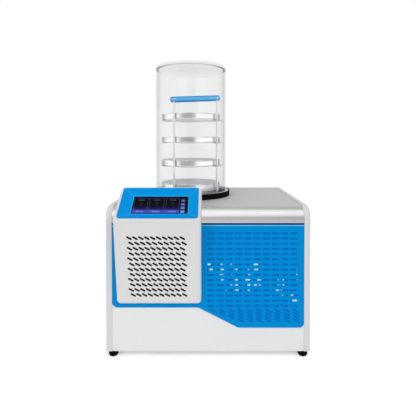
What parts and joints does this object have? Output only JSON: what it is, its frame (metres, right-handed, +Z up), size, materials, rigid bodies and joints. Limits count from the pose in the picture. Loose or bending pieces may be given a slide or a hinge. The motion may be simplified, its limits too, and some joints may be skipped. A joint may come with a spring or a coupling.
{
  "type": "freeze dryer",
  "caption": "Bench-top vacuum freeze dryer: refrigerated cold trap in a louvred cabinet, clear bell jar with a tray rack, and a sloping touch-screen console.",
  "frame": {"origin": "on the bench, under the middle of the machine's overall box", "axes": "+Z up, +X to the right of someone facing the front, -Y out of the front towards them"},
  "size_m": [0.6, 0.5205, 0.898],
  "materials": {
    "cabinet_white": "smooth light grey-white powder coat",
    "console_white": "moulded, fine satin grain",
    "top_steel": "satin rolled sheet",
    "grille_blue": "satin sky-blue powder coat",
    "bezel_blue": "satin sky-blue moulding",
    "screen_black": "black cover glass",
    "clear_acrylic": "clear cast acrylic, polished",
    "black_rubber": "matt",
    "stainless": "polished stainless sheet",
    "handle_blue": "smooth blue sleeve",
    "rod_steel": "drawn bright",
    "copper": "drawn copper tube",
    "brass": "turned",
    "compressor_black": "black enamel",
    "board_green": "solder mask",
    "board_black": "black solder mask",
    "foam": "cut foam",
    "filter_blue": "fine blue filter fabric with bare wire knots",
    "fin_blue": "blue hydrophilic coat",
    "zinc_sheet": "zinc-plated sheet",
    "black_plastic": "moulded",
    "screw_steel": "zinc-plated"
  },
  "bodies": {
    "cabinet": {"left_side_panel": "cabinet_white", "right_side_panel": "cabinet_white", "base_pan": "zinc_sheet", "steel_top_cover": "top_steel", "front_skirt": "cabinet_white", "front_grille": "grille_blue", "dust_filter": "filter_blue", "rear_panel": "cabinet_white", "cross_member": "zinc_sheet", "rubber_feet": "black_rubber", "console_shell": "console_white", "screen_bezel": "bezel_blue", "touch_screen": "screen_black", "display_board": "board_green", "control_board": "board_black", "trap_pot": "stainless", "evaporator_jacket": "stainless", "trap_insulation": "foam", "jar_wall": "clear_acrylic", "jar_lid": "clear_acrylic", "jar_base_ring": "stainless", "seal_ring": "black_rubber", "rack_foot": "stainless", "rack_rods": "rod_steel", "rack_handle": "handle_blue", "condenser_fins": "fin_blue", "condenser_bends": "copper", "fan_shroud": "zinc_sheet", "fan_motor": "black_plastic", "compressor": "compressor_black", "compressor_grommets": "black_rubber", "discharge_line": "copper", "filter_drier": "copper", "liquid_line": "copper", "capillary_tube": "copper", "suction_line": "copper", "power_supply": "zinc_sheet", "power_inlet": "black_plastic", "power_switch_frame": "black_plastic", "fuse_holder": "black_plastic", "vacuum_port": "stainless", "vacuum_gauge": "black_plastic", "vent_valve_body": "brass", "vent_tube": "copper", "drain_tube": "stainless", "drain_valve_body": "brass", "cover_screws": "screw_steel", "tray_1": "stainless", "tray_shelf_1": "stainless", "tray_2": "stainless", "tray_shelf_2": "stainless", "tray_3": "stainless", "tray_shelf_3": "stainless", "tray_4": "stainless", "tray_shelf_4": "stainless"},
    "fan": {"fan_blade": "black_plastic"},
    "drain_lever": {"drain_valve_lever": "screw_steel"},
    "vent_knob": {"vent_valve_knob": "black_plastic"},
    "power_rocker": {"power_switch_rocker": "black_plastic"}
  },
  "joints": [
    {"name": "fan_spin", "type": "hinge", "parent": "cabinet", "child": "fan", "pos_m": [0.132, -0.14, 0.233], "axis": [0, 1, 0], "continuous": true},
    {"name": "drain_lever_turn", "type": "hinge", "parent": "cabinet", "child": "drain_lever", "pos_m": [-0.062, 0.239, 0.089], "axis": [0, 0, 1], "range_deg": [0, 90]},
    {"name": "vent_knob_turn", "type": "hinge", "parent": "cabinet", "child": "vent_knob", "pos_m": [-0.15, 0.244, 0.398], "axis": [0, 1, 0], "range_deg": [0, 270]},
    {"name": "power_rocker_tilt", "type": "hinge", "parent": "cabinet", "child": "power_rocker", "pos_m": [0.15, 0.2305, 0.092], "axis": [1, 0, 0], "range_deg": [0, 16]}
  ]
}
